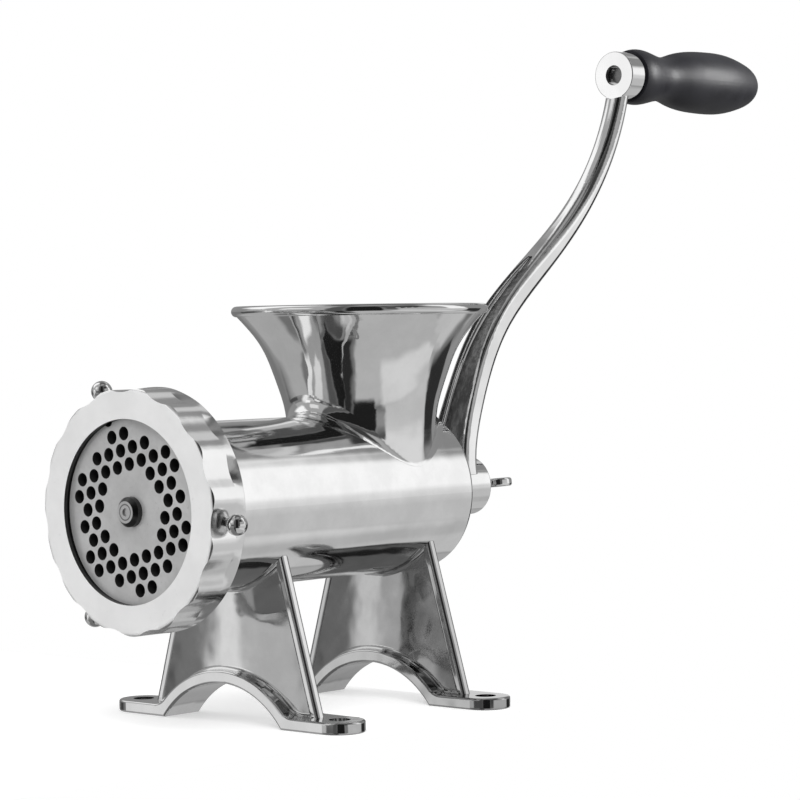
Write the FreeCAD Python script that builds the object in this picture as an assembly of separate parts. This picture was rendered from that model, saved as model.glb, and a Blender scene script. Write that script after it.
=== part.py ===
"""Hand crank meat grinder with a size 22 plate, standing on two arched legs.

Millimetres. The origin is the centre of the four foot holes, on the plane the feet stand on.
+Z is up, the cutting end faces -Y and the crank is at +Y. The auger lies along Y.
"""
import math
import os

import FreeCAD
import Part

# Auger axis and the cutting end
axis_height = 89.5
ring_front_y = -105.7
ring_depth = 18.2
ring_lip = 3.0
ring_opening_radius = 37.0
ring_wall = 4.6
ring_lobes = 15
ring_scallop_depth = 1.8
ring_lobe_radius = 12.0
ring_recess_angle = -4.0
ring_edge = 1.8
ring_rim_spare = 0.2
ring_run_out = 5.0
thread_clearance = 0.3

plate_radius = 41.0
plate_thickness = 8.0
plate_clearance = 0.2
plate_proud = 1.0
plate_hole_radius = 2.75
plate_pitch = 7.18
plate_row_angle = 13.95
plate_inner_order = 7
plate_outer_order = 19
plate_notch_angle = 110.0
plate_notch_width = 5.0
plate_notch_depth = 5.2

key_clearance = 0.2
key_length = 6.0
key_grip = 3.0

knob_ball_radius = 4.3
knob_reach = 52.8
knob_stem_radius = 1.9
knob_collar_radius = 2.3
knob_collar_height = 1.6
knob_seat_depth = 0.3
knob_count = 3
press_clearance = 0.02

# Barrel
barrel_radius = 34.5
barrel_wall = 4.0
barrel_rear_y = 66.3
barrel_rear_edge = 2.0
barrel_rear_wall = 4.8
mouth_radius = 44.5
mouth_cone = 10.0
chamber_radius = 35.5
chamber_depth = 9.5
chamber_cone = 5.0
boss_radius = 16.0
boss_length = 13.0
boss_edge = 1.5

# Hopper
hopper_y = 32.3
hopper_neck_radius = 32.0
hopper_neck_height = 114.0
hopper_rim_radius = 54.0
hopper_rim_height = 167.4
hopper_wall = 3.0
hopper_bead = 2.3
hopper_bead_rise = 1.2
hopper_bead_trim = 0.25
hopper_fillet = 7.0
seam_gap = 0.04

# Legs and feet
foot_hole_x = 57.0
foot_hole_y = 45.1
foot_hole_radius = 4.4
foot_depth = 20.8
foot_thickness = 5.0
arch_inset = 10.9
arch_height = 16.4
arch_band = 5.2
arch_blend = 9.0
leg_foot_half = 44.6
leg_top_half = 25.6
leg_top_height = 69.0
leg_web = 3.2
leg_bulge = 5.0
leg_rib = 4.8
leg_rib_corner = 1.7
leg_edge = 1.0
leg_blend = 2.0

# Auger, stud and knife
auger_clearance = 0.5
auger_core_radius = 13.0
auger_pitch = 36.0
auger_flight = 5.5
auger_flight_ends = 3.0
auger_root = 2.0
auger_chamfer = 1.0
auger_swell = 12.0
auger_swell_radius = 17.0
stud_pin_radius = 6.0
stud_square = 11.0
stud_square_radius = 7.2
stud_thread_radius = 5.5
stud_thread_length = 25.0
stud_end_gap = 1.0
stud_proud = 3.7
stud_chamfer = 1.6
stud_dimple_radius = 1.6
stud_dimple_depth = 0.8
knife_radius = 34.0
knife_blade = 6.0
knife_hub = 9.0
knife_hub_radius = 11.0
knife_arm = 10.0
knife_bevel = 3.5
knife_land = 1.0
knife_arms = 4
face_gap = 0.05
slip_fit = 0.05

# Rear bearing
shaft_radius = 10.5
bush_wall = 3.0
running_clearance = 0.06
washer_radius = 20.0
washer_thickness = 2.0
tail_square = 14.0
tail_recess = 2.2

# Crank
hub_radius = 12.9
hub_length = 22.8
hub_gap = 1.3
hub_edge = 0.6
crank_throw = 190.0
crank_offset = 126.6
eye_radius = 11.35
eye_thickness = 10.0
eye_edge = 0.4
eye_recess_radius = 4.8
eye_recess = 4.5
arm_corner = 2.6
panel_rim = 2.0
panel_depth = 2.8
panel_corner = 1.5

# Wing screw
screw_thread_radius = 4.0
screw_thread_length = 18.0
screw_collar_radius = 10.0
screw_collar_length = 2.5
screw_neck_radius = 4.6
wing_thickness = 3.8
wing_lobe_radius = 6.5
wing_spread = 9.0
wing_reach = 8.8
wing_angle = 6.0
wing_edge = 1.1
screw_clearance = 0.1
screw_end_gap = 2.0

# Grip
bolt_radius = 3.6
bolt_proud = 1.0
bolt_head_radius = 4.9
bolt_head_height = 3.8
bolt_head_sunk = 0.7
bolt_slot = 1.4
bolt_slot_depth = 1.8
grip_washer_thickness = 1.1
grip_washer_radius = 10.0
grip_length = 99.2
grip_flange_radius = 13.3
grip_neck_radius = 10.7
grip_belly_radius = 15.2
grip_end_radius = 6.4
head_clearance = 0.3

# Places worked out from the values above
ring_rear_y = ring_front_y + ring_depth
plate_front_y = ring_front_y + ring_lip
plate_rear_y = plate_front_y + plate_thickness
mouth_y = plate_front_y + plate_proud
ring_bore_radius = mouth_radius + thread_clearance
ring_radius = ring_bore_radius + ring_wall
bore_radius = barrel_radius - barrel_wall
chamber_rear_y = plate_rear_y + chamber_depth
boss_rear_y = barrel_rear_y + boss_length
wall_front_y = barrel_rear_y - barrel_rear_wall
bush_radius = shaft_radius + running_clearance + bush_wall
hub_front_y = boss_rear_y + hub_gap
hub_rear_y = hub_front_y + hub_length
crank_arm_y = hub_front_y + hub_length / 2
eye_height = axis_height + crank_throw
eye_rear_y = crank_arm_y + crank_offset + eye_thickness / 2
eye_front_y = eye_rear_y - eye_thickness
grip_front_y = eye_rear_y + grip_washer_thickness + 2 * face_gap
grip_rear_y = grip_front_y + grip_length
knife_front_y = plate_rear_y + face_gap
auger_front_y = knife_front_y + knife_hub
arch_half_span = leg_foot_half - arch_inset
bolt_head_y = grip_rear_y - bolt_head_sunk - bolt_head_height

UP = FreeCAD.Vector(0, 0, 1)
BACK = FreeCAD.Vector(0, 1, 0)


def vec(x, y, z):
    return FreeCAD.Vector(x, y, z)


def rod(radius, y0, y1, height=axis_height):
    """Cylinder along +Y from y0 to y1."""
    return Part.makeCylinder(radius, y1 - y0, vec(0, y0, height), BACK)


def tube(outer, inner, y0, y1, height=axis_height):
    return rod(outer, y0, y1, height).cut(rod(inner, y0, y1, height))


def square_bar(across, y0, y1, height=axis_height):
    return Part.makeBox(across, y1 - y0, across, vec(-across / 2, y0, height - across / 2))


def turned(edges, height=axis_height):
    """Solid of revolution about the line along Y at this height, from edges of its half section."""
    face = Part.Face(Part.Wire(edges))
    return face.revolve(vec(0, 0, height), BACK, 360)


def polygon_edges(points):
    closed = points + [points[0]]
    return [Part.LineSegment(a, b).toShape() for a, b in zip(closed, closed[1:])]


def turned_outline(points, height=axis_height):
    """Solid of revolution from (radius, y) corners."""
    return turned(polygon_edges([vec(radius, y, height) for radius, y in points]), height)


def spun(shape, angle, height=axis_height):
    """Copy of a shape turned about the line along Y; positive angles go from +X to +Z."""
    copy = shape.copy()
    copy.rotate(vec(0, 0, height), BACK, -angle)
    return copy


def round_edges(shape, radius, keep):
    """Fillet the edges for which keep(edge) is true."""
    return shape.makeFillet(radius, [edge for edge in shape.Edges if keep(edge)])


def is_ring_at(edge, y, radius):
    """True for a whole circle about a Y line at this y and radius."""
    box = edge.BoundBox
    flat = box.YLength < 1e-6 and abs(box.YMin - y) < 1e-6
    return flat and abs(box.XLength / 2 - radius) < 1e-6


def joined(shapes):
    return shapes[0].multiFuse(shapes[1:]).removeSplitter()


def save(name, shape):
    solids = shape.Solids
    out = solids[0] if len(solids) == 1 else Part.makeCompound(solids)
    if not out.isValid():
        raise ValueError(name + " is not a valid solid")
    out.exportStep("parts/" + name + ".step")
    print(name, len(solids), "solid(s)", round(out.Volume / 1000, 2), "cm3")


def hopper_side(inset, foot_height):
    """Side of the hopper from foot to rim, moved inwards by inset, as a spline and its points."""
    stations = [(0.0, 0.0), (0.05, 0.24), (0.21, 0.46), (0.49, 0.74), (0.88, 0.947), (1.0, 1.0)]
    rise = hopper_rim_height - hopper_neck_height
    flare = hopper_rim_radius - hopper_neck_radius
    neck = hopper_neck_radius - inset
    points = [vec(neck, hopper_y, foot_height), vec(neck, hopper_y, (foot_height + hopper_neck_height) / 2)]
    for out, up in stations:
        points.append(vec(neck + flare * out, hopper_y, hopper_neck_height + rise * up))
    curve = Part.BSplineCurve()
    curve.interpolate(points)
    return curve, points


def hopper_body(inset, foot_height, top_height):
    """Solid of revolution inside the flared side, closed at foot and top."""
    curve, points = hopper_side(inset, foot_height)
    high = vec(points[-1].x, hopper_y, top_height)
    base = vec(0, hopper_y, foot_height)
    roof = vec(0, hopper_y, top_height)
    edges = [
        curve.toShape(),
        Part.LineSegment(points[-1], high).toShape(),
        Part.LineSegment(high, roof).toShape(),
        Part.LineSegment(roof, base).toShape(),
        Part.LineSegment(base, points[0]).toShape(),
    ]
    face = Part.Face(Part.Wire(edges))
    return face.revolve(vec(0, hopper_y, 0), UP, 360)


def throat():
    """Space inside the hopper, from the auger up past the rim."""
    return hopper_body(hopper_wall, axis_height, hopper_rim_height + 4 * hopper_bead)


def make_barrel():
    outline = [
        (0, mouth_y),
        (mouth_radius, mouth_y),
        (mouth_radius, ring_rear_y),
        (barrel_radius, ring_rear_y + mouth_cone),
        (barrel_radius, barrel_rear_y),
        (0, barrel_rear_y),
    ]
    shape = turned_outline(outline)
    shape = round_edges(shape, barrel_rear_edge, lambda e: is_ring_at(e, barrel_rear_y, barrel_radius))
    boss = rod(boss_radius, barrel_rear_y - barrel_rear_wall / 2, boss_rear_y)
    boss = round_edges(boss, boss_edge, lambda e: is_ring_at(e, boss_rear_y, boss_radius))
    shape = shape.fuse(boss)
    hollow = turned_outline([
        (0, mouth_y - 1),
        (plate_radius + plate_clearance, mouth_y - 1),
        (plate_radius + plate_clearance, plate_rear_y),
        (chamber_radius, plate_rear_y),
        (chamber_radius, chamber_rear_y),
        (bore_radius, chamber_rear_y + chamber_cone),
        (bore_radius, wall_front_y),
        (0, wall_front_y),
    ])
    shape = shape.cut(hollow)
    shape = shape.cut(rod(bush_radius + press_clearance, wall_front_y - 1, boss_rear_y + 1))
    shape = shape.cut(throat())
    return shape.cut(key_rod(press_clearance))


def make_hopper():
    bead_height = hopper_rim_height + hopper_bead_rise
    outer = hopper_body(0, axis_height, bead_height)
    core_rear_y = barrel_rear_y + 2 * hopper_fillet
    core = rod(barrel_radius, ring_rear_y + mouth_cone, core_rear_y)
    whole = outer.fuse(core)
    seam_top = axis_height + barrel_radius + 1

    def at_seam(edge):
        box = edge.BoundBox
        curved = box.ZLength > 1 and box.XLength > 1 and box.YLength > 1
        return curved and box.ZMax < seam_top and box.ZMin > axis_height + 1

    whole = round_edges(whole, hopper_fillet, at_seam)
    whole = whole.cut(rod(barrel_radius + seam_gap, ring_rear_y, core_rear_y + 1))
    trim_y = barrel_rear_y - barrel_rear_edge / 2
    overhang = rod(barrel_radius + hopper_fillet, trim_y, core_rear_y)
    whole = whole.cut(overhang)
    bead_ring = hopper_rim_radius - hopper_wall + hopper_bead - hopper_bead_trim
    bead = Part.makeTorus(bead_ring, hopper_bead, vec(0, hopper_y, bead_height))
    bead.rotate(vec(0, hopper_y, 0), UP, 90)
    whole = whole.fuse(bead)
    side = 4 * hopper_rim_radius
    below = Part.makeBox(side, side, axis_height, vec(-side / 2, hopper_y - side / 2, 0))
    return whole.cut(below).cut(throat())


def arch_circle():
    """Radius and centre height of the circle under the arch."""
    radius = (arch_half_span ** 2 + arch_height ** 2) / (2 * arch_height)
    return radius, arch_height - radius


def leg_half_at(z):
    """Half width of a leg at this height, between the middles of its ribs."""
    slope = (leg_foot_half - leg_top_half) / (leg_top_height - foot_thickness)
    return leg_foot_half - slope * (z - foot_thickness)


def web_circle(y, z):
    """Radius of the arc that the middle of the web follows at this height, and the y of its centre."""
    half = leg_half_at(z)
    bulge = leg_bulge * half / leg_foot_half
    radius = (half ** 2 + bulge ** 2) / (2 * bulge)
    return radius, y - bulge + radius


def leg_band(y):
    """Arched strip with a flat foot at each end, its long edges rounded."""
    low_radius, centre_z = arch_circle()
    top_radius = low_radius + arch_band
    end_x = foot_hole_x + foot_depth / 2
    top_x = math.sqrt(top_radius ** 2 - (foot_thickness - centre_z) ** 2)
    front = y - foot_depth / 2
    feet = Part.makeBox(2 * end_x, foot_depth, foot_thickness, vec(-end_x, front, 0))
    hoop = Part.makeCylinder(top_radius, foot_depth, vec(0, front, centre_z), BACK)
    hoop = hoop.common(Part.makeBox(2 * top_x, foot_depth, top_radius, vec(-top_x, front, 0)))
    shape = feet.fuse(hoop)

    def at_shoulder(edge):
        box = edge.BoundBox
        straight = box.YLength > foot_depth - 1e-3 and box.XLength < 1e-3 and box.ZLength < 1e-3
        return straight and abs(box.ZMin - foot_thickness) < 1e-3 and abs(abs(box.XMin) - top_x) < 1e-3

    shape = round_edges(shape.removeSplitter(), arch_blend, at_shoulder)
    shape = shape.cut(Part.makeCylinder(low_radius, foot_depth, vec(0, front, centre_z), BACK))
    plan = Part.makeBox(2 * foot_hole_x, foot_depth, 4 * arch_height, vec(-foot_hole_x, front, -1))
    for side in (-1, 1):
        tip = Part.makeCylinder(foot_depth / 2, 4 * arch_height, vec(side * foot_hole_x, y, -1))
        plan = plan.fuse(tip)
    shape = shape.common(plan.removeSplitter())

    def across(edge):
        box = edge.BoundBox
        return box.YLength > leg_edge and box.XLength < 1e-6 and box.ZLength < 1e-6

    return round_edges(shape, leg_edge, lambda edge: not across(edge))


def leg_web_plate(y):
    """Web bulging to the front between its sloped sides, reaching up into the barrel."""
    sections = []
    for z in (0, axis_height):
        radius, centre_y = web_circle(y, z)
        # a quarter past the leg's side; the surplus is trimmed off below
        reach = 1.25 * math.asin(leg_half_at(z) / radius)

        def on_arc(extra, share):
            turn = reach * share
            return vec((radius + extra) * math.sin(turn), centre_y - (radius + extra) * math.cos(turn), z)

        front = [on_arc(leg_web / 2, share) for share in (-1, 0, 1)]
        rear = [on_arc(-leg_web / 2, share) for share in (1, 0, -1)]
        sections.append(Part.Wire([
            Part.Arc(*front).toShape(),
            Part.LineSegment(front[2], rear[0]).toShape(),
            Part.Arc(*rear).toShape(),
            Part.LineSegment(rear[2], front[0]).toShape(),
        ]))
    plate = Part.makeLoft(sections, True, True)
    foot_x = leg_half_at(0)
    apex_x = leg_half_at(axis_height)
    front_y = y - leg_bulge - leg_web
    corners = [vec(-foot_x, front_y, 0), vec(foot_x, front_y, 0), vec(apex_x, front_y, axis_height),
               vec(-apex_x, front_y, axis_height)]
    side = Part.Face(Part.Wire(polygon_edges(corners)))
    return plate.common(side.extrude(vec(0, 4 * leg_bulge + 2 * leg_web, 0)))


def leg_ribs(y):
    """Rounded square rib along both sloped sides of the web."""
    ribs = []
    for side in (-1, 1):
        start = vec(side * leg_half_at(foot_thickness / 2), y, foot_thickness / 2)
        run = vec(side * leg_half_at(axis_height), y, axis_height) - start
        across = vec(run.z, 0, -run.x)
        across.normalize()
        corners = []
        for wide, deep in ((-1, -1), (1, -1), (1, 1), (-1, 1)):
            corners.append(start + across * (wide * leg_rib / 2) + BACK * (deep * leg_rib / 2))
        rib = Part.Face(Part.Wire(polygon_edges(corners))).extrude(run)
        ribs.append(round_edges(rib, leg_rib_corner, lambda edge: abs(edge.Length - run.Length) < 1e-6))
    return ribs


def lies_on(edge, distance, radius):
    """True where distance(point) is the given radius all along an edge."""
    first, last = edge.ParameterRange
    points = [edge.valueAt(first + (last - first) * share) for share in (0, 0.25, 0.5, 0.75, 1)]
    return all(abs(distance(point) - radius) < 0.01 for point in points)


def make_leg(y):
    low_radius, centre_z = arch_circle()
    buried = low_radius + arch_band / 2
    under = Part.makeCylinder(buried, 4 * foot_depth, vec(0, y - 2 * foot_depth, centre_z), BACK)
    floor = Part.makeBox(4 * foot_hole_x, 4 * foot_depth, foot_thickness / 2,
                         vec(-2 * foot_hole_x, y - 2 * foot_depth, 0))
    upright = leg_web_plate(y).cut(under).cut(floor)
    shape = joined([leg_band(y), upright])

    def from_web(point):
        radius, centre_y = web_circle(y, point.z)
        return math.hypot(point.x, point.y - centre_y) - radius

    def from_axis(point):
        return math.hypot(point.x, point.z - axis_height)

    def at_web_foot(edge):
        box = edge.BoundBox
        low = box.ZMax < arch_height + arch_band + 0.01 and box.XLength > leg_rib / 2
        return low and lies_on(edge, from_web, leg_web / 2)

    shape = round_edges(shape, leg_blend, at_web_foot)
    shape = shape.fuse(rod(barrel_radius, ring_rear_y + mouth_cone, barrel_rear_y))

    def at_saddle(edge):
        box = edge.BoundBox
        near = abs(box.Center.y - y) < foot_depth and box.ZMax < axis_height
        return near and lies_on(edge, from_axis, barrel_radius)

    shape = round_edges(shape, leg_blend, at_saddle)
    shape = shape.multiFuse([rib.cut(under).cut(floor) for rib in leg_ribs(y)])
    shape = shape.cut(rod(barrel_radius + seam_gap, ring_front_y, hub_rear_y))
    for side in (-1, 1):
        hole = Part.makeCylinder(foot_hole_radius, 3 * foot_thickness,
                                 vec(side * foot_hole_x, y, -foot_thickness))
        shape = shape.cut(hole)
    return shape


def make_rear_bush():
    return tube(bush_radius, shaft_radius + running_clearance, wall_front_y, boss_rear_y)


def notch_centre():
    """Radius at which the key and the round end of the plate notch are centred."""
    return plate_radius - plate_notch_depth + plate_notch_width / 2


def key_rod(extra):
    """Key pin standing in the floor of the plate seat, grown by extra."""
    radius = plate_notch_width / 2 - key_clearance + extra
    pin = Part.makeCylinder(radius, key_length, vec(notch_centre(), plate_rear_y + key_grip, axis_height),
                            vec(0, -1, 0))
    return spun(pin, plate_notch_angle)


def make_plate():
    disc = rod(plate_radius, plate_front_y, plate_rear_y)
    holes = [rod(stud_pin_radius + running_clearance, plate_front_y - 1, plate_rear_y + 1)]
    drill = rod(plate_hole_radius, plate_front_y - 1, plate_rear_y + 1)
    reach = int(math.sqrt(plate_outer_order)) + 2
    turn = math.radians(plate_row_angle)
    for i in range(-reach, reach + 1):
        for j in range(-reach, reach + 1):
            order = i * i + j * j - i * j
            if plate_inner_order <= order <= plate_outer_order:
                x = plate_pitch * (i - j / 2)
                z = plate_pitch * j * math.sqrt(3) / 2
                hole = drill.copy()
                hole.translate(vec(x * math.cos(turn) - z * math.sin(turn), 0,
                                   x * math.sin(turn) + z * math.cos(turn)))
                holes.append(hole)
    notch = Part.makeCylinder(plate_notch_width / 2, plate_thickness + 2,
                              vec(notch_centre(), plate_front_y - 1, axis_height), BACK)
    slot = Part.makeBox(plate_notch_depth, plate_thickness + 2, plate_notch_width,
                        vec(notch_centre(), plate_front_y - 1, axis_height - plate_notch_width / 2))
    holes.append(spun(notch.fuse(slot), plate_notch_angle))
    return disc.cut(Part.makeCompound(holes))


def ring_body():
    """Ring with a wave of lobes and scallops around it, which runs out into a round rear rim."""
    half_step = math.radians(180 / ring_lobes)
    lobe_out = ring_radius - ring_lobe_radius
    floor_out = ring_radius - ring_scallop_depth
    lobe_along = lobe_out * math.cos(half_step)
    excess = ring_lobe_radius ** 2 - lobe_out ** 2 - floor_out ** 2 + 2 * floor_out * lobe_along
    scallop_radius = excess / (2 * (floor_out - lobe_along - ring_lobe_radius))
    scallop_out = floor_out + scallop_radius
    run = vec(scallop_out * math.cos(half_step) - lobe_out, 0, scallop_out * math.sin(half_step))
    meet = vec(lobe_out, 0, 0) + run * (ring_lobe_radius / run.Length)
    meet_turn = math.degrees(math.atan2(meet.z, meet.x))

    def place(radius, degrees, y):
        turn = math.radians(degrees)
        return vec(radius * math.cos(turn), y, axis_height + radius * math.sin(turn))

    step = 360 / ring_lobes
    reach = math.hypot(meet.x, meet.z)
    wires = []
    for y, low, mid in ((ring_front_y, floor_out, reach), (ring_rear_y - ring_run_out, floor_out, reach),
                        (ring_rear_y, ring_radius, ring_radius)):
        edges = []
        for index in range(ring_lobes):
            scallop = ring_recess_angle + step * index
            lobe = scallop + step / 2
            start = place(mid, lobe - meet_turn, y)
            end = place(mid, lobe + meet_turn, y)
            following = place(mid, lobe + step - meet_turn, y)
            edges.append(Part.Arc(start, place(ring_radius, lobe, y), end).toShape())
            edges.append(Part.Arc(end, place(low, scallop + step, y), following).toShape())
        wires.append(Part.Wire(edges))
    return Part.makeLoft(wires, True, True)


def make_ring_nut():
    rim_radius = ring_radius + ring_rim_spare

    def at_rim(edge):
        return is_ring_at(edge, ring_front_y, rim_radius) or is_ring_at(edge, ring_rear_y, rim_radius)

    body = ring_body().common(round_edges(rod(rim_radius, ring_front_y, ring_rear_y), ring_edge, at_rim))
    body = body.cut(rod(ring_opening_radius, ring_front_y - 1, ring_rear_y + 1))
    body = body.cut(rod(ring_bore_radius, plate_front_y, ring_rear_y + 1))
    stem = knob_stem_radius + press_clearance
    drill = Part.makeCylinder(stem, 2 * ring_wall, vec(ring_bore_radius - ring_wall, knob_y(), axis_height),
                              vec(1, 0, 0))
    face = Part.makeCylinder(knob_collar_radius + press_clearance, ring_wall,
                             vec(knob_seat_radius(), knob_y(), axis_height), vec(1, 0, 0))
    for angle in knob_angles():
        body = body.cut(spun(drill, angle)).cut(spun(face, angle))
    return body


def knob_y():
    return ring_front_y + ring_depth / 2


def knob_seat_radius():
    """Distance from the axis to the flat that a knob collar sits on."""
    return ring_radius - ring_scallop_depth - knob_seat_depth


def knob_angles():
    return [ring_recess_angle + 360 / knob_count * index for index in range(knob_count)]


def make_ring_knobs():
    outward = vec(1, 0, 0)
    seat = vec(ring_bore_radius + thread_clearance, knob_y(), axis_height)
    stem = Part.makeCylinder(knob_stem_radius, knob_reach - seat.x, seat, outward)
    collar = Part.makeCylinder(knob_collar_radius, knob_collar_height,
                               vec(knob_seat_radius(), knob_y(), axis_height), outward)
    ball = Part.makeSphere(knob_ball_radius, vec(knob_reach, knob_y(), axis_height))
    knob = joined([stem, collar, ball])
    return Part.makeCompound([spun(knob, angle) for angle in knob_angles()])


def helix(radius, y0, length):
    """Left hand helix along +Y starting at +X, so that a clockwise crank drives to the front."""
    wire = Part.makeHelix(auger_pitch, length, radius, 0, True)
    wire.rotate(vec(0, 0, 0), vec(1, 0, 0), -90)
    wire.translate(vec(0, y0, axis_height))
    return wire.Edges[0]


def auger_screw(y0, y1):
    """Helical flight as a solid ribbon from inside the core to the tip radius."""
    inner = auger_core_radius - auger_root
    outer = bore_radius - auger_clearance
    length = y1 - y0 - auger_flight
    low_in = helix(inner, y0, length)
    low_out = helix(outer, y0, length)
    high_in = helix(inner, y0 + auger_flight, length)
    high_out = helix(outer, y0 + auger_flight, length)
    faces = [
        Part.makeRuledSurface(low_in, low_out),
        Part.makeRuledSurface(high_in, high_out),
        Part.makeRuledSurface(low_in, high_in),
        Part.makeRuledSurface(low_out, high_out),
    ]
    for end in (0, -1):
        corners = [edge.Vertexes[end].Point for edge in (low_in, low_out, high_out, high_in)]
        faces.append(Part.Face(Part.Wire(polygon_edges(corners))))
    shell = Part.makeShell(faces)
    shell.sewShape()
    return Part.makeSolid(shell)


def make_auger():
    shoulder_y = wall_front_y - washer_thickness - face_gap
    core = turned_outline([
        (0, auger_front_y),
        (auger_core_radius - auger_chamfer, auger_front_y),
        (auger_core_radius, auger_front_y + auger_chamfer),
        (auger_core_radius, shoulder_y - auger_swell),
        (auger_swell_radius, shoulder_y),
        (shaft_radius, shoulder_y),
        (shaft_radius, hub_front_y),
        (0, hub_front_y),
    ])
    flight = auger_screw(auger_front_y + auger_flight_ends, shoulder_y - auger_flight_ends)
    tail = square_bar(tail_square, hub_front_y - 1, hub_rear_y - tail_recess)
    shape = joined([core, flight, tail])
    thread_end = auger_front_y + stud_thread_length
    shape = shape.cut(rod(stud_thread_radius + slip_fit, auger_front_y - 1, thread_end))
    thread = screw_thread_radius + screw_clearance
    return shape.cut(rod(thread, hub_rear_y - screw_thread_length - screw_end_gap, hub_rear_y + 1))


def make_stud():
    tip_y = plate_front_y - stud_proud
    pin = rod(stud_pin_radius, tip_y, knife_front_y)
    tip = [edge for edge in pin.Edges if is_ring_at(edge, tip_y, stud_pin_radius)]
    pin = pin.makeChamfer(stud_chamfer, tip)
    square = square_bar(stud_square, knife_front_y, auger_front_y)
    square = square.common(rod(stud_square_radius, knife_front_y, auger_front_y))
    thread = rod(stud_thread_radius, auger_front_y, auger_front_y + stud_thread_length - stud_end_gap)
    shape = joined([pin, square, thread])
    return shape.cut(rod(stud_dimple_radius, tip_y - 1, tip_y + stud_dimple_depth))


def make_thrust_washer():
    rear = wall_front_y - face_gap / 2
    return tube(washer_radius, shaft_radius + slip_fit, rear - washer_thickness, rear)


def make_knife():
    hub = rod(knife_hub_radius, knife_front_y, knife_front_y + knife_hub)
    arm = Part.makeBox(knife_radius, knife_blade, knife_arm,
                       vec(0, knife_front_y, axis_height - knife_arm / 2))
    low = axis_height - knife_arm / 2
    bevel = Part.Face(Part.Wire(polygon_edges([
        vec(0, knife_front_y + knife_blade, low),
        vec(0, knife_front_y + knife_blade, low + knife_bevel),
        vec(0, knife_front_y + knife_land, low),
    ])))
    arm = arm.cut(bevel.extrude(vec(knife_radius + 1, 0, 0)))
    step = 360 / knife_arms
    shape = joined([hub] + [spun(arm, step * index) for index in range(knife_arms)])
    shape = shape.common(rod(knife_radius, knife_front_y, knife_front_y + knife_hub))
    return shape.cut(square_bar(stud_square + 2 * slip_fit, knife_front_y - 1, knife_front_y + knife_hub + 1))


# Stations of the crank arm: share of the rearward offset, share of the throw, width, thickness, front corner
ARM_STATIONS = [
    (0.000, 0.030, 24.0, 9.4, 2.6),
    (0.026, 0.132, 20.2, 9.5, 2.6),
    (0.068, 0.202, 18.0, 9.8, 2.6),
    (0.157, 0.318, 15.6, 10.2, 2.6),
    (0.298, 0.427, 13.4, 10.4, 2.8),
    (0.524, 0.548, 12.0, 10.2, 4.0),
    (0.773, 0.702, 11.2, 8.9, 5.0),
    (0.929, 0.864, 11.0, 8.2, 5.0),
    (0.988, 0.985, 11.0, 7.8, 5.0),
]


# Stations of the panel in the front of the arm: share of the throw, share of the width between its rims
PANEL_STATIONS = [
    (0.090, 1.0),
    (0.202, 1.0),
    (0.318, 1.0),
    (0.427, 1.0),
    (0.480, 0.90),
    (0.506, 0.66),
    (0.522, 0.30),
]


def arm_centre():
    """Centre line of the arm, an S in the YZ plane, as a spline and its points."""
    points = []
    for back, up, _, _, _ in ARM_STATIONS:
        points.append(vec(0, crank_arm_y + crank_offset * back, axis_height + crank_throw * up))
    curve = Part.BSplineCurve()
    curve.interpolate(points)
    return curve, points


def arm_width_at(up):
    """Width and thickness of the arm at a share of the throw, between its stations."""
    for low, high in zip(ARM_STATIONS, ARM_STATIONS[1:]):
        if low[1] <= up <= high[1]:
            share = (up - low[1]) / (high[1] - low[1])
            return low[2] + share * (high[2] - low[2]), low[3] + share * (high[3] - low[3])
    raise ValueError("station outside the arm")


def arm_place_at(curve, up):
    """Point of the centre line at a share of the throw, and the direction there."""
    low, high = curve.FirstParameter, curve.LastParameter
    target = axis_height + crank_throw * up
    while high - low > 1e-7:
        middle = (low + high) / 2
        if curve.value(middle).z < target:
            low = middle
        else:
            high = middle
    return curve.value(low), vec(*curve.tangent(low)[0])


def rounded_section(centre, along, width, thickness, rear_corner, front_corner):
    """Rounded rectangle square to a direction in the YZ plane, width along X."""
    side = vec(1, 0, 0)
    depth = along.cross(side)

    def corner_arc(across, deep, radius):
        """Start, middle and end of the arc at one corner, from the flank to the face."""
        u = across * (width / 2 - radius)
        v = deep * (thickness / 2 - radius)
        half = radius * math.sqrt(0.5)
        steps = [(radius, 0), (half, half), (0, radius)]
        return [centre + side * (u + across * du) + depth * (v + deep * dv) for du, dv in steps]

    arcs = [
        corner_arc(1, 1, rear_corner),
        corner_arc(-1, 1, rear_corner)[::-1],
        corner_arc(-1, -1, front_corner),
        corner_arc(1, -1, front_corner)[::-1],
    ]
    edges = []
    for arc, following in zip(arcs, arcs[1:] + arcs[:1]):
        edges.append(Part.Arc(*arc).toShape())
        edges.append(Part.LineSegment(arc[2], following[0]).toShape())
    return Part.Wire(edges)


def arm_panel(curve):
    """Shallow pocket in the front of the arm, with a rim left on either side."""
    sections = []
    for up, share in PANEL_STATIONS:
        width, thickness = arm_width_at(up)
        point, along = arm_place_at(curve, up)
        front = point - along.cross(vec(1, 0, 0)) * (thickness / 2)
        wide = (width - 2 * panel_rim) * share
        corner = panel_corner * share
        sections.append(rounded_section(front, along, wide, 2 * panel_depth * share, corner, corner))
    return Part.makeLoft(sections, True, False)


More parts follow.
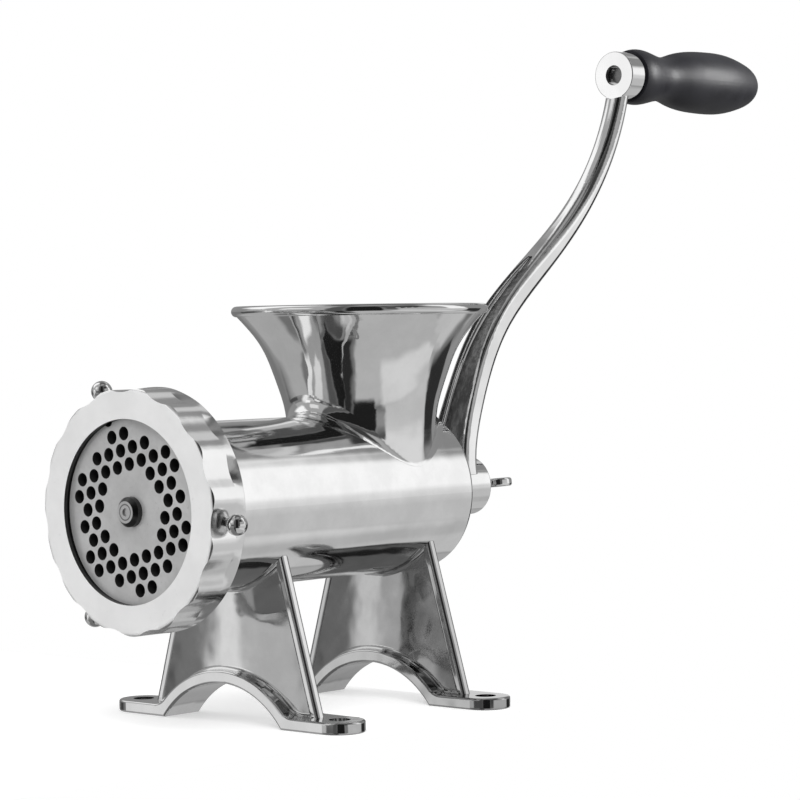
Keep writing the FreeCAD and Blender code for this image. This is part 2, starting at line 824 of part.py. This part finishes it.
def make_crank_arm():
    curve, points = arm_centre()
    sections = []
    for point, (_, _, width, thickness, front_corner) in zip(points, ARM_STATIONS):
        along = vec(*curve.tangent(curve.parameter(point))[0])
        sections.append(rounded_section(point, along, width, thickness, arm_corner, front_corner))
    bar = Part.makeLoft(sections, True, False).cut(arm_panel(curve))
    bar = bar.cut(rod(eye_radius, crank_arm_y, eye_front_y, eye_height))
    hub = rod(hub_radius, hub_front_y, hub_rear_y)
    hub = round_edges(hub, hub_edge, lambda e: is_ring_at(e, hub_front_y, hub_radius)
                      or is_ring_at(e, hub_rear_y, hub_radius))
    eye = rod(eye_radius, eye_front_y, eye_rear_y, eye_height)
    eye = round_edges(eye, eye_edge, lambda e: is_ring_at(e, eye_front_y, eye_radius)
                      or is_ring_at(e, eye_rear_y, eye_radius))
    shape = joined([bar, hub, eye])
    shape = shape.cut(square_bar(tail_square + 2 * slip_fit, hub_front_y - 1, hub_rear_y + 1))
    shape = shape.cut(rod(eye_recess_radius, eye_front_y - 1, eye_front_y + eye_recess, eye_height))
    return shape.cut(rod(bolt_radius + slip_fit, eye_front_y, eye_rear_y + 1, eye_height))


def make_wing_screw():
    seat = hub_rear_y + face_gap
    thread = rod(screw_thread_radius, hub_rear_y - screw_thread_length, seat + 1)
    collar = rod(screw_collar_radius, seat, seat + screw_collar_length)
    neck_y = seat + screw_collar_length / 2
    low = axis_height - wing_thickness / 2
    wing_y = hub_rear_y + wing_reach
    wings = []
    for side in (-1, 1):
        lobe = Part.makeCylinder(wing_lobe_radius, wing_thickness, vec(side * wing_spread, wing_y, low))
        wings.append(lobe)
    corners = [
        vec(-screw_neck_radius, neck_y, low),
        vec(screw_neck_radius, neck_y, low),
        vec(wing_spread, wing_y + wing_lobe_radius / 2, low),
        vec(-wing_spread, wing_y + wing_lobe_radius / 2, low),
    ]
    wings.append(Part.Face(Part.Wire(polygon_edges(corners))).extrude(vec(0, 0, wing_thickness)))
    head = joined(wings)

    def at_outline(edge):
        return edge.BoundBox.ZLength < 1e-6

    head = round_edges(head, wing_edge, at_outline)
    return joined([thread, collar, spun(head, wing_angle)])


def make_grip_bolt():
    """Bolt through the grip, its thread in the eye and its slotted head sunk in the end of the grip."""
    shank = rod(bolt_radius, eye_front_y + eye_recess - bolt_proud, bolt_head_y, eye_height)
    head = rod(bolt_head_radius, bolt_head_y, bolt_head_y + bolt_head_height, eye_height)
    slot = Part.makeBox(4 * bolt_head_radius, bolt_slot_depth, bolt_slot,
                        vec(-2 * bolt_head_radius, bolt_head_y + bolt_head_height - bolt_slot_depth,
                            eye_height - bolt_slot / 2))
    return joined([shank, head]).cut(slot)


def make_grip_washer():
    front = eye_rear_y + face_gap
    return tube(grip_washer_radius, bolt_radius + slip_fit, front, front + grip_washer_thickness, eye_height)


def make_grip():
    """Turned grip with a flange, a waist, a swelling and a flattened round end."""
    stations = [
        (0.0, 0.932 * grip_flange_radius),
        (0.042, grip_flange_radius),
        (0.107, 0.955 * grip_flange_radius),
        (0.254, grip_neck_radius),
        (0.36, (grip_neck_radius + grip_belly_radius) / 2),
        (0.59, grip_belly_radius),
        (0.735, 0.974 * grip_belly_radius),
        (0.87, 0.809 * grip_belly_radius),
        (0.96, 0.605 * grip_belly_radius),
        (1.0, grip_end_radius),
    ]
    points = [vec(radius, grip_front_y + grip_length * share, eye_height) for share, radius in stations]
    side = Part.BSplineCurve()
    side.interpolate(points)
    axis_front = vec(0, grip_front_y, eye_height)
    axis_rear = vec(0, grip_rear_y, eye_height)
    edges = [
        Part.LineSegment(axis_front, points[0]).toShape(),
        side.toShape(),
        Part.LineSegment(points[-1], axis_rear).toShape(),
        Part.LineSegment(axis_rear, axis_front).toShape(),
    ]
    shape = turned(edges, eye_height)
    shape = shape.cut(rod(bolt_radius + running_clearance, grip_front_y - 1, grip_rear_y + 1, eye_height))
    recess = bolt_head_radius + head_clearance
    return shape.cut(rod(recess, bolt_head_y - face_gap, grip_rear_y + 1, eye_height))


def main():
    os.makedirs("parts", exist_ok=True)
    save("barrel", make_barrel())
    save("hopper", make_hopper())
    save("front_leg", make_leg(-foot_hole_y))
    save("rear_leg", make_leg(foot_hole_y))
    save("rear_bush", make_rear_bush())
    save("plate_key", key_rod(0))
    save("grinding_plate", make_plate())
    save("ring_nut", make_ring_nut())
    save("ring_knobs", make_ring_knobs())
    save("auger", make_auger())
    save("auger_stud", make_stud())
    save("thrust_washer", make_thrust_washer())
    save("knife", make_knife())
    save("crank_arm", make_crank_arm())
    save("wing_screw", make_wing_screw())
    save("grip_bolt", make_grip_bolt())
    save("grip_washer", make_grip_washer())
    save("grip", make_grip())


main()
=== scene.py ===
"""Looks of the hand crank meat grinder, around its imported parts. Metres, in the frame of the pack."""
import math

import bpy
from mathutils import Matrix, Vector

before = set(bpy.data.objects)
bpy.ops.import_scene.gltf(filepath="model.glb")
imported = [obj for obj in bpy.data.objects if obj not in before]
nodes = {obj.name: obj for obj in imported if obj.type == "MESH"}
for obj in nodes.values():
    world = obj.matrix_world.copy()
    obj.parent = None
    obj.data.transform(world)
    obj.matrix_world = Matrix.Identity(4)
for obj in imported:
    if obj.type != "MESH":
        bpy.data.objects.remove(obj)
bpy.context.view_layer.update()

# Heights of the auger's axis and of the grip's axis
AXIS_Z = 0.0895
EYE_Z = 0.2795
# Lowest and highest point of the pocket's floor in the crank, and how squarely that floor faces forward
PANEL_Z = (0.1055, 0.1935)
PANEL_FORWARD = -0.3
PANEL_ASIDE = 0.35
# Wall of the ring nut's opening: where it meets the plate, and a radius just outside it
LIP_REAR_Y = -0.1034
LIP_RADIUS = 0.0375
# End of the stud: everything sloped outside the first radius is flank
STUD_FACE_RADIUS = 0.0035
STUD_GROOVE_RADIUS = 0.0031
# Tool marks, in radians a metre
RING_LINES = 9000.0
TURNED_LINES = 7000.0


class Graph:
    """Short calls for adding and linking shader nodes in one tree."""

    def __init__(self, tree):
        self.tree = tree

    def add(self, kind, **settings):
        node = self.tree.nodes.new(kind)
        for name, value in settings.items():
            setattr(node, name, value)
        return node

    def put(self, socket, value):
        """Link a socket to another one, or give it a constant."""
        if isinstance(value, bpy.types.NodeSocket):
            self.tree.links.new(value, socket)
        else:
            socket.default_value = value

    def math(self, operation, a, b=None, c=None):
        node = self.add("ShaderNodeMath", operation=operation)
        for socket, value in zip(node.inputs, (a, b, c)):
            if value is not None:
                self.put(socket, value)
        return node.outputs[0]

    def ramp(self, value, low, high, to_low=0.0, to_high=1.0):
        """Smooth step of a value from one range to another."""
        node = self.add("ShaderNodeMapRange", interpolation_type="SMOOTHSTEP")
        for socket, entry in zip(node.inputs, (value, low, high, to_low, to_high)):
            self.put(socket, entry)
        return node.outputs[0]

    def noise(self, vector, scale, detail=2.0, rough=0.5):
        node = self.add("ShaderNodeTexNoise")
        self.put(node.inputs["Vector"], vector)
        self.put(node.inputs["Scale"], scale)
        self.put(node.inputs["Detail"], detail)
        self.put(node.inputs["Roughness"], rough)
        return node.outputs["Fac"]

    def mix(self, factor, a, b):
        """Mix of two colours."""
        node = self.add("ShaderNodeMix", data_type="RGBA")
        self.put(node.inputs[0], factor)
        self.put(node.inputs[6], a)
        self.put(node.inputs[7], b)
        return node.outputs[2]

    def blend(self, factor, a, b):
        """Mix of two numbers."""
        node = self.add("ShaderNodeMix", data_type="FLOAT")
        self.put(node.inputs[0], factor)
        self.put(node.inputs[2], a)
        self.put(node.inputs[3], b)
        return node.outputs[0]

    def split(self, vector):
        node = self.add("ShaderNodeSeparateXYZ")
        self.put(node.inputs[0], vector)
        return node.outputs

    def scaled(self, vector, factors):
        """Vector with each part multiplied, to stretch a texture."""
        node = self.add("ShaderNodeVectorMath", operation="MULTIPLY")
        self.put(node.inputs[0], vector)
        self.put(node.inputs[1], factors)
        return node.outputs[0]

    def bump(self, height, distance, normal=None):
        node = self.add("ShaderNodeBump")
        self.put(node.inputs["Strength"], 1.0)
        self.put(node.inputs["Distance"], distance)
        self.put(node.inputs["Height"], height)
        if normal is not None:
            self.put(node.inputs["Normal"], normal)
        return node.outputs[0]


def grey(value, warmth=0.0):
    """Neutral colour, or a little warmer."""
    return (value + warmth, value, value - warmth, 1.0)


def start_material(name):
    """New material with its graph, shader, place in the object and normal."""
    material = bpy.data.materials.new(name)
    material.use_nodes = True
    graph = Graph(material.node_tree)
    shader = next(n for n in material.node_tree.nodes if n.type == "BSDF_PRINCIPLED")
    place = graph.add("ShaderNodeTexCoord")
    return material, graph, shader, place.outputs["Object"], place.outputs["Normal"]


def radius_about(graph, place, height):
    """Distance of a point from the line along Y at this height."""
    x, _, z = graph.split(place)
    up = graph.math("SUBTRACT", z, height)
    return graph.math("SQRT", graph.math("ADD", graph.math("POWER", x, 2.0), graph.math("POWER", up, 2.0)))


def polished(name, wave, tint=0.84, rough=(0.04, 0.10), wave_scale=38.0):
    """Cast stainless steel polished to a mirror, with slow waves left by the mop, haze and fine scratches."""
    material, g, shader, place, _ = start_material(name)
    slow = g.noise(place, wave_scale, 2.0, 0.45)
    haze = g.noise(place, 60.0, 4.0, 0.6)
    fine = g.noise(g.scaled(place, (1.0, 0.12, 1.0)), 1500.0, 2.0, 0.6)
    g.put(shader.inputs["Base Color"], g.mix(g.ramp(haze, 0.3, 0.7), grey(tint - 0.05), grey(tint + 0.03)))
    g.put(shader.inputs["Metallic"], 1.0)
    base = g.ramp(haze, 0.25, 0.75, rough[0], rough[1])
    g.put(shader.inputs["Roughness"], g.math("ADD", base, g.ramp(fine, 0.55, 0.8, 0.0, 0.04)))
    g.put(shader.inputs["Normal"], g.bump(fine, 0.0000015, g.bump(slow, wave)))
    return material


def ring_steel():
    """Ring nut: polished lobes, a turned satin face with tool lines, and painted shade on the inside of its
    opening, darkest at the plate.
    """
    material, g, shader, place, normal = start_material("ring_steel")
    _, face_y, _ = g.split(normal)
    front = g.ramp(face_y, -0.80, -0.97)
    radius = radius_about(g, place, AXIS_Z)
    lines = g.math("SINE", g.math("MULTIPLY", radius, RING_LINES))
    broad = g.noise(place, 45.0, 3.0, 0.55)
    worn = g.noise(place, 420.0, 4.0, 0.65)
    satin = g.mix(g.ramp(broad, 0.3, 0.7), grey(0.86), grey(0.92))
    satin = g.mix(g.ramp(worn, 0.64, 0.8), satin, grey(0.78))
    bright = g.mix(g.ramp(broad, 0.3, 0.7), grey(0.80), grey(0.88))
    _, along, _ = g.split(place)
    lip = g.math("MULTIPLY", g.math("LESS_THAN", radius, LIP_RADIUS), g.math("SUBTRACT", 1.0, front))
    # Painted shade on the opening's wall: dark grey, near black where it meets the plate
    shadow = g.mix(g.ramp(along, LIP_REAR_Y - 0.0009, LIP_REAR_Y - 0.0002), grey(0.085), grey(0.012))
    outside = g.mix(front, bright, satin)
    g.put(shader.inputs["Base Color"], g.mix(lip, outside, shadow))
    g.put(shader.inputs["Metallic"], g.blend(front, 1.0, 0.35))
    polish = g.blend(lip, g.ramp(broad, 0.25, 0.75, 0.13, 0.20), 0.35)
    g.put(shader.inputs["Roughness"], g.blend(front, polish, g.ramp(worn, 0.3, 0.7, 0.30, 0.40)))
    wavy = g.bump(broad, 0.0003)
    g.put(shader.inputs["Normal"], g.bump(g.math("MULTIPLY", lines, front), 0.0000012, wavy))
    return material


def plate_steel():
    """Ground tool steel plate: matte, mottled, with grinding lines, and painted shade on the walls of its
    bores.
    """
    material, g, shader, place, normal = start_material("plate_steel")
    _, face_y, _ = g.split(normal)
    wall = g.ramp(g.math("ABSOLUTE", face_y), 0.7, 0.4)
    patches = g.noise(place, 70.0, 4.0, 0.6)
    speck = g.noise(place, 700.0, 3.0, 0.65)
    lines = g.noise(g.scaled(place, (0.06, 1.0, 1.0)), 2200.0, 2.0, 0.6)
    shade = g.mix(g.ramp(patches, 0.3, 0.7), grey(0.53), grey(0.63))
    shade = g.mix(g.ramp(speck, 0.60, 0.80), shade, grey(0.44, 0.004))
    # The bores' walls are painted near black as shade
    g.put(shader.inputs["Base Color"], g.mix(wall, shade, grey(0.022)))
    g.put(shader.inputs["Metallic"], g.blend(wall, 0.45, 0.2))
    g.put(shader.inputs["Roughness"], g.blend(wall, g.ramp(speck, 0.3, 0.7, 0.40, 0.52), 0.6))
    g.put(shader.inputs["Normal"], g.bump(lines, 0.000003, g.bump(speck, 0.000006)))
    return material


def turned_steel(name, low, high, rough, height):
    """Lathe turned steel with rings about its axis and a little wear."""
    material, g, shader, place, _ = start_material(name)
    radius = radius_about(g, place, height)
    _, along, _ = g.split(place)
    lines = g.math("SINE", g.math("MULTIPLY", g.math("ADD", radius, along), TURNED_LINES))
    worn = g.noise(place, 260.0, 4.0, 0.65)
    g.put(shader.inputs["Base Color"], g.mix(g.ramp(worn, 0.3, 0.7), grey(low), grey(high)))
    g.put(shader.inputs["Metallic"], 1.0)
    g.put(shader.inputs["Roughness"], g.ramp(worn, 0.3, 0.7, rough, rough + 0.12))
    g.put(shader.inputs["Normal"], g.bump(lines, 0.000004, g.bump(worn, 0.00001)))
    return material


def stud_steel():
    """Stud in the middle of the plate: turned end face with one groove, and painted shade on its flank."""
    material, g, shader, place, normal = start_material("stud_steel")
    _, face_y, _ = g.split(normal)
    radius = radius_about(g, place, AXIS_Z)
    front = g.ramp(face_y, -0.80, -0.95)
    outer = g.math("GREATER_THAN", radius, STUD_FACE_RADIUS)
    flank = g.math("MULTIPLY", outer, g.math("SUBTRACT", 1.0, front))
    beside = g.math("ABSOLUTE", g.math("SUBTRACT", radius, STUD_GROOVE_RADIUS))
    groove = g.math("MULTIPLY", front, g.ramp(beside, 0.0004, 0.0001))
    worn = g.noise(place, 260.0, 4.0, 0.65)
    shade = g.mix(g.ramp(worn, 0.3, 0.7), grey(0.66), grey(0.80))
    shade = g.mix(groove, shade, grey(0.22))
    # Painted shade: the flank's colour is made near black
    g.put(shader.inputs["Base Color"], g.mix(flank, shade, grey(0.08)))
    g.put(shader.inputs["Metallic"], 1.0)
    g.put(shader.inputs["Roughness"], g.blend(flank, g.ramp(worn, 0.3, 0.7, 0.42, 0.54), 0.30))
    lines = g.math("SINE", g.math("MULTIPLY", radius, TURNED_LINES))
    g.put(shader.inputs["Normal"], g.bump(lines, 0.000004, g.bump(worn, 0.00001)))
    return material


def cast_steel(name, low, high, rough):
    """Tumbled as-cast steel: grainy, with darker pits."""
    material, g, shader, place, _ = start_material(name)
    patches = g.noise(place, 90.0, 4.0, 0.6)
    grain = g.noise(place, 1300.0, 3.0, 0.6)
    shade = g.mix(g.ramp(patches, 0.3, 0.7), grey(low), grey(high))
    g.put(shader.inputs["Base Color"], g.mix(g.ramp(grain, 0.58, 0.75), shade, grey(0.6 * low)))
    g.put(shader.inputs["Metallic"], 0.9)
    g.put(shader.inputs["Roughness"], g.ramp(grain, 0.3, 0.7, rough, rough + 0.15))
    g.put(shader.inputs["Normal"], g.bump(grain, 0.00003, g.bump(patches, 0.0002)))
    return material


def shaded_panel_steel():
    """Rough as-cast floor of the crank's pocket, streaked along the arm; its dark colour is partly the
    casting's and partly painted shade in the recess.
    """
    material, g, shader, place, _ = start_material("shaded_panel_steel")
    streaks = g.noise(g.scaled(place, (1.0, 1.0, 0.10)), 420.0, 3.0, 0.6)
    grain = g.noise(place, 1300.0, 3.0, 0.6)
    # Dark greys: painted shade of the recess on top of the as-cast tone
    shade = g.mix(g.ramp(streaks, 0.35, 0.70), grey(0.10), grey(0.22))
    g.put(shader.inputs["Base Color"], g.mix(g.ramp(grain, 0.60, 0.75), shade, grey(0.07)))
    g.put(shader.inputs["Metallic"], 0.9)
    g.put(shader.inputs["Roughness"], g.ramp(grain, 0.3, 0.7, 0.34, 0.48))
    g.put(shader.inputs["Normal"], g.bump(grain, 0.00003, g.bump(streaks, 0.00010)))
    return material


def bronze():
    """Bearing bronze of the bush."""
    material, g, shader, place, _ = start_material("bronze")
    patches = g.noise(place, 120.0, 4.0, 0.6)
    fine = g.noise(place, 1500.0, 3.0, 0.6)
    shade = g.mix(g.ramp(patches, 0.3, 0.7), (0.52, 0.31, 0.12, 1.0), (0.68, 0.45, 0.20, 1.0))
    g.put(shader.inputs["Base Color"], shade)
    g.put(shader.inputs["Metallic"], 1.0)
    g.put(shader.inputs["Roughness"], g.ramp(fine, 0.3, 0.7, 0.28, 0.42))
    g.put(shader.inputs["Normal"], g.bump(fine, 0.00001))
    return material


def nylon():
    """Off-white nylon of the thrust washer."""
    material, g, shader, place, _ = start_material("nylon")
    patches = g.noise(place, 150.0, 4.0, 0.6)
    fine = g.noise(place, 1800.0, 3.0, 0.6)
    shade = g.mix(g.ramp(patches, 0.3, 0.7), (0.74, 0.72, 0.66, 1.0), (0.84, 0.83, 0.78, 1.0))
    g.put(shader.inputs["Base Color"], shade)
    g.put(shader.inputs["Roughness"], g.ramp(fine, 0.3, 0.7, 0.42, 0.55))
    g.put(shader.inputs["Normal"], g.bump(fine, 0.00001))
    return material


def grip_plastic():
    """Moulded charcoal plastic with a fine grain, faint mould waves and a little dust."""
    material, g, shader, place, _ = start_material("grip_plastic")
    grain = g.noise(place, 2600.0, 2.0, 0.6)
    patches = g.noise(place, 80.0, 4.0, 0.6)
    dust = g.noise(place, 900.0, 4.0, 0.7)
    shade = g.mix(g.ramp(patches, 0.3, 0.7), (0.011, 0.011, 0.014, 1.0), (0.016, 0.016, 0.020, 1.0))
    shade = g.mix(g.ramp(dust, 0.70, 0.82, 0.0, 0.35), shade, (0.16, 0.16, 0.16, 1.0))
    g.put(shader.inputs["Base Color"], shade)
    g.put(shader.inputs["Roughness"], g.ramp(patches, 0.3, 0.7, 0.42, 0.50))
    g.put(shader.inputs["Specular IOR Level"], 0.3)
    g.put(shader.inputs["Normal"], g.bump(grain, 0.00002, g.bump(patches, 0.0001)))
    return material


MATERIALS = {
    "barrel": polished("polished_steel", wave=0.00016),
    "hopper": polished("hopper_steel", wave=0.00075, rough=(0.03, 0.07)),
    # Legs: the barrel's polished steel painted darker as shade, the rear leg darker still
    "front_leg": polished("front_leg_shaded_steel", tint=0.70, wave=0.00075, rough=(0.04, 0.12)),
    "rear_leg": polished("rear_leg_shaded_steel", tint=0.54, wave=0.00075, rough=(0.04, 0.12)),
    "rear_bush": bronze(),
    "plate_key": turned_steel("key_steel", 0.40, 0.52, 0.25, AXIS_Z),
    "grinding_plate": plate_steel(),
    "ring_nut": ring_steel(),
    "ring_knobs": polished("knob_steel", wave=0.00003, wave_scale=200.0, rough=(0.03, 0.06)),
    "auger": cast_steel("auger_steel", 0.42, 0.56, 0.30),
    "auger_stud": stud_steel(),
    "thrust_washer": nylon(),
    "knife": cast_steel("knife_steel", 0.40, 0.52, 0.26),
    "crank_arm": polished("crank_steel", wave=0.00016),
    "wing_screw": polished("screw_steel", wave=0.00004, wave_scale=150.0, rough=(0.06, 0.12)),
    # Bolt and washer painted dark as shade: the bolt deep in the eye's hole, the washer in the gap between
    # eye and grip
    "grip_bolt": turned_steel("bolt_steel_shaded", 0.18, 0.28, 0.28, EYE_Z),
    "grip_washer": turned_steel("washer_steel_shaded", 0.10, 0.16, 0.30, EYE_Z),
    "grip": grip_plastic(),
}

for node_name, node_material in MATERIALS.items():
    nodes[node_name].data.materials.clear()
    nodes[node_name].data.materials.append(node_material)


def face_islands(mesh):
    """Groups of faces that hang together by shared vertices."""
    parent = list(range(len(mesh.vertices)))

    def root(index):
        while parent[index] != index:
            parent[index] = parent[parent[index]]
            index = parent[index]
        return index

    for face in mesh.polygons:
        first = root(face.vertices[0])
        for other in face.vertices:
            parent[root(other)] = first
    groups = {}
    for face in mesh.polygons:
        groups.setdefault(root(face.vertices[0]), []).append(face)
    return groups.values()


def paint_panel():
    """Give the floor of the pocket in the front of the crank its rough as-cast material, which carries
    painted shade.
    """
    mesh = nodes["crank_arm"].data
    mesh.materials.append(shaded_panel_steel())
    for faces in face_islands(mesh):
        heights = [mesh.vertices[v].co.z for face in faces for v in face.vertices]
        normals = [face.normal for face in faces]
        forward = all(normal.y < PANEL_FORWARD and abs(normal.x) < PANEL_ASIDE for normal in normals)
        if forward and min(heights) > PANEL_Z[0] and max(heights) < PANEL_Z[1]:
            for face in faces:
                face.material_index = 1


paint_panel()

# Camera fitted to the photograph
AZIMUTH = math.radians(41.891)
ELEVATION = math.radians(1.471)
ROLL = math.radians(-0.881)
CAMERA_AT = Vector((0.83446, -0.87290, 0.16124))
FOCAL_PIXELS = 2856.5
IMAGE_PIXELS = 800
SENSOR_WIDTH = 36.0


def make_camera():
    """Camera that stands where the photograph's did, with its roll."""
    flat = math.cos(ELEVATION)
    back = Vector((math.sin(AZIMUTH) * flat, -math.cos(AZIMUTH) * flat, math.sin(ELEVATION)))
    level = Vector((math.cos(AZIMUTH), math.sin(AZIMUTH), 0))
    up = back.cross(level)
    right = level * math.cos(ROLL) + up * math.sin(ROLL)
    above = up * math.cos(ROLL) - level * math.sin(ROLL)
    data = bpy.data.cameras.new("photo_camera")
    data.sensor_width = SENSOR_WIDTH
    data.lens = FOCAL_PIXELS / IMAGE_PIXELS * SENSOR_WIDTH
    data.clip_start = 0.05
    data.clip_end = 50
    camera = bpy.data.objects.new("photo_camera", data)
    turn = Matrix((right, above, back)).transposed().to_4x4()
    camera.matrix_world = Matrix.Translation(CAMERA_AT) @ turn
    bpy.context.scene.collection.objects.link(camera)
    bpy.context.scene.camera = camera


make_camera()

# Levels of the studio that polished metal sees around, above and below, and of the light on matte surfaces
AROUND_LEVEL = 0.28
ABOVE_LEVEL = 0.13
BELOW_LEVEL = 0.18
MATTE_LEVEL = 0.55

# Cards in that studio, each laid over the ones before it.
# Azimuth, half width, elevation, half height and softness in degrees, then the level
CARDS = [
    (-125.0, 46.0, 33.0, 41.0, 4.0, 0.42),
    (-10.0, 60.0, 80.0, 12.0, 4.0, 0.35),
    (-158.0, 13.0, -4.0, 10.0, 3.0, 0.22),
    (-120.0, 10.0, -3.0, 8.0, 3.0, 0.58),
    (-110.0, 14.0, 31.0, 11.0, 3.0, 0.85),
    (150.0, 35.0, -7.0, 8.0, 3.0, 0.20),
    (-168.0, 13.0, -10.0, 6.0, 3.0, 0.07),
    (165.0, 60.0, -34.0, 14.0, 3.0, 0.42),
    (10.0, 66.0, -59.0, 30.0, 3.0, 0.49),
    (22.0, 38.0, -34.0, 8.0, 4.0, 0.70),
    (27.0, 38.0, -14.0, 14.0, 3.0, 0.58),
    (25.0, 35.0, 0.0, 7.0, 4.0, 0.75),
    (5.0, 30.0, 21.0, 9.0, 4.0, 0.42),
    (0.0, 22.0, 42.0, 12.0, 4.0, 0.05),
    (49.0, 12.0, 29.0, 26.0, 4.0, 1.08),
    (60.0, 7.0, 46.0, 11.0, 3.0, 0.85),
    (88.0, 16.0, -40.0, 10.0, 3.0, 0.56),
    (80.0, 15.0, -14.0, 11.0, 2.0, 0.03),
    (106.0, 12.0, 44.0, 8.0, 3.0, 0.65),
    (126.0, 8.0, 10.0, 6.0, 3.0, 0.80),
    (-172.0, 22.0, 47.0, 23.0, 6.0, 1.10),
    (-88.0, 20.0, -2.0, 8.0, 3.0, 0.10),
    (-70.0, 9.0, 16.0, 42.0, 3.0, 0.10),
    (-70.0, 8.0, -45.0, 22.0, 3.0, 0.025),
    (-18.0, 7.0, 28.0, 36.0, 3.0, 0.085),
    (-43.0, 17.0, 14.0, 46.0, 2.0, 0.014),
    (-136.0, 6.0, -4.0, 18.0, 3.0, 0.92),
    (-128.0, 5.0, 7.0, 6.0, 2.0, 1.10),
]


def make_world():
    """Studio for mirror and matte surfaces, and plain white for the camera."""
    world = bpy.data.worlds.new("studio")
    bpy.context.scene.world = world
    world.use_nodes = True
    g = Graph(world.node_tree)
    out = next(n for n in world.node_tree.nodes if n.type == "BACKGROUND")
    x, y, z = g.split(g.add("ShaderNodeTexCoord").outputs["Generated"])
    azimuth = g.math("ARCTAN2", y, x)
    elevation = g.math("ARCSINE", z)
    level = g.ramp(elevation, math.radians(55), math.radians(65), AROUND_LEVEL, ABOVE_LEVEL)
    level = g.blend(g.ramp(elevation, math.radians(-26), math.radians(-16)), BELOW_LEVEL, level)
    for turn, half_turn, rise, half_rise, soft, value in CARDS:
        off = g.math("WRAP", g.math("SUBTRACT", azimuth, math.radians(turn)), math.pi, -math.pi)
        beside = g.math("ABSOLUTE", off)
        above = g.math("ABSOLUTE", g.math("SUBTRACT", elevation, math.radians(rise)))
        inside = g.ramp(beside, math.radians(half_turn + soft), math.radians(half_turn - soft))
        within = g.ramp(above, math.radians(half_rise + soft), math.radians(half_rise - soft))
        level = g.blend(g.math("MULTIPLY", inside, within), level, value)
    path = g.add("ShaderNodeLightPath").outputs
    seen = g.math("MAXIMUM", path["Is Glossy Ray"], path["Is Transmission Ray"])
    strength = g.blend(seen, MATTE_LEVEL, level)
    g.put(out.inputs["Color"], (1.0, 1.0, 1.0, 1.0))
    g.put(out.inputs["Strength"], g.blend(path["Is Camera Ray"], strength, 1.0))


# Table top: reach toward the camera, away from it and to both sides, then its limits along X and Y
TABLE_FRONT = 0.24
TABLE_REAR = 0.95
TABLE_SIDE = 0.8
TABLE_EDGES = (0.076, 0.064)
# Its matte colour, and the glow that only the camera sees
FLOOR_SHADE = 0.8
FLOOR_GLOW = 0.45


def cut_beyond(corners, axis, limit):
    """Part of a flat outline with X (axis 0) or Y (axis 1) up to a limit."""
    kept = []
    for start, end in zip(corners, corners[1:] + corners[:1]):
        if start[axis] <= limit:
            kept.append(start)
        if (start[axis] <= limit) != (end[axis] <= limit):
            kept.append(start.lerp(end, (limit - start[axis]) / (end[axis] - start[axis])))
    return kept


def make_floor():
    """Table top that ends behind the rear leg and beside the feet, so that the crank swings past it."""
    mesh = bpy.data.meshes.new("floor")
    toward = Vector((math.sin(AZIMUTH), -math.cos(AZIMUTH), 0))
    aside = Vector((math.cos(AZIMUTH), math.sin(AZIMUTH), 0))
    corners = [
        toward * TABLE_FRONT - aside * TABLE_SIDE,
        toward * TABLE_FRONT + aside * TABLE_SIDE,
        aside * TABLE_SIDE - toward * TABLE_REAR,
        -aside * TABLE_SIDE - toward * TABLE_REAR,
    ]
    for axis, limit in enumerate(TABLE_EDGES):
        corners = cut_beyond(corners, axis, limit)
    mesh.from_pydata(corners, [], [tuple(range(len(corners)))])
    floor = bpy.data.objects.new("floor", mesh)
    bpy.context.scene.collection.objects.link(floor)
    floor.visible_glossy = False
    material = bpy.data.materials.new("floor_white")
    material.use_nodes = True
    g = Graph(material.node_tree)
    material.node_tree.nodes.clear()
    diffuse = g.add("ShaderNodeBsdfDiffuse")
    glow = g.add("ShaderNodeEmission")
    g.put(glow.inputs["Color"], grey(1.0))
    path = g.add("ShaderNodeLightPath").outputs
    g.put(glow.inputs["Strength"], g.math("MULTIPLY", path["Is Camera Ray"], FLOOR_GLOW))
    g.put(diffuse.inputs["Color"], grey(FLOOR_SHADE))
    both = g.add("ShaderNodeAddShader")
    g.put(both.inputs[0], diffuse.outputs[0])
    g.put(both.inputs[1], glow.outputs[0])
    out = g.add("ShaderNodeOutputMaterial")
    g.put(out.inputs["Surface"], both.outputs[0])
    mesh.materials.append(material)


def make_lamp(name, place, target, size, power):
    """Square soft box of this power, turned to the target, that mirrors don't show."""
    data = bpy.data.lights.new(name, "AREA")
    data.shape = "SQUARE"
    data.size = size
    data.energy = power
    lamp = bpy.data.objects.new(name, data)
    lamp.location = place
    lamp.rotation_euler = (Vector(target) - Vector(place)).to_track_quat("-Z", "Y").to_euler()
    lamp.visible_glossy = False
    bpy.context.scene.collection.objects.link(lamp)
    return lamp


def light_grip():
    """Soft box that only the grip takes light from, for the sheen along its upper side."""
    lit = bpy.data.collections.new("lit_by_box")
    lit.objects.link(nodes["grip"])
    lamp = make_lamp("grip_box", (0.62, 0.88, 0.52), (0, 0.26, EYE_Z), 0.45, 11.0)
    lamp.visible_glossy = True
    lamp.light_linking.receiver_collection = lit


make_world()
make_floor()
make_lamp("key", (0.7, -0.9, 1.2), (0, 0, 0.1), 0.9, 13.0)
make_lamp("fill", (-1.1, -0.5, 0.9), (0, 0, 0.1), 1.0, 4.0)
make_lamp("rear", (0.5, 1.2, 0.9), (0, 0, 0.15), 0.9, 4.0)
light_grip()
bpy.context.scene.view_settings.view_transform = "Standard"
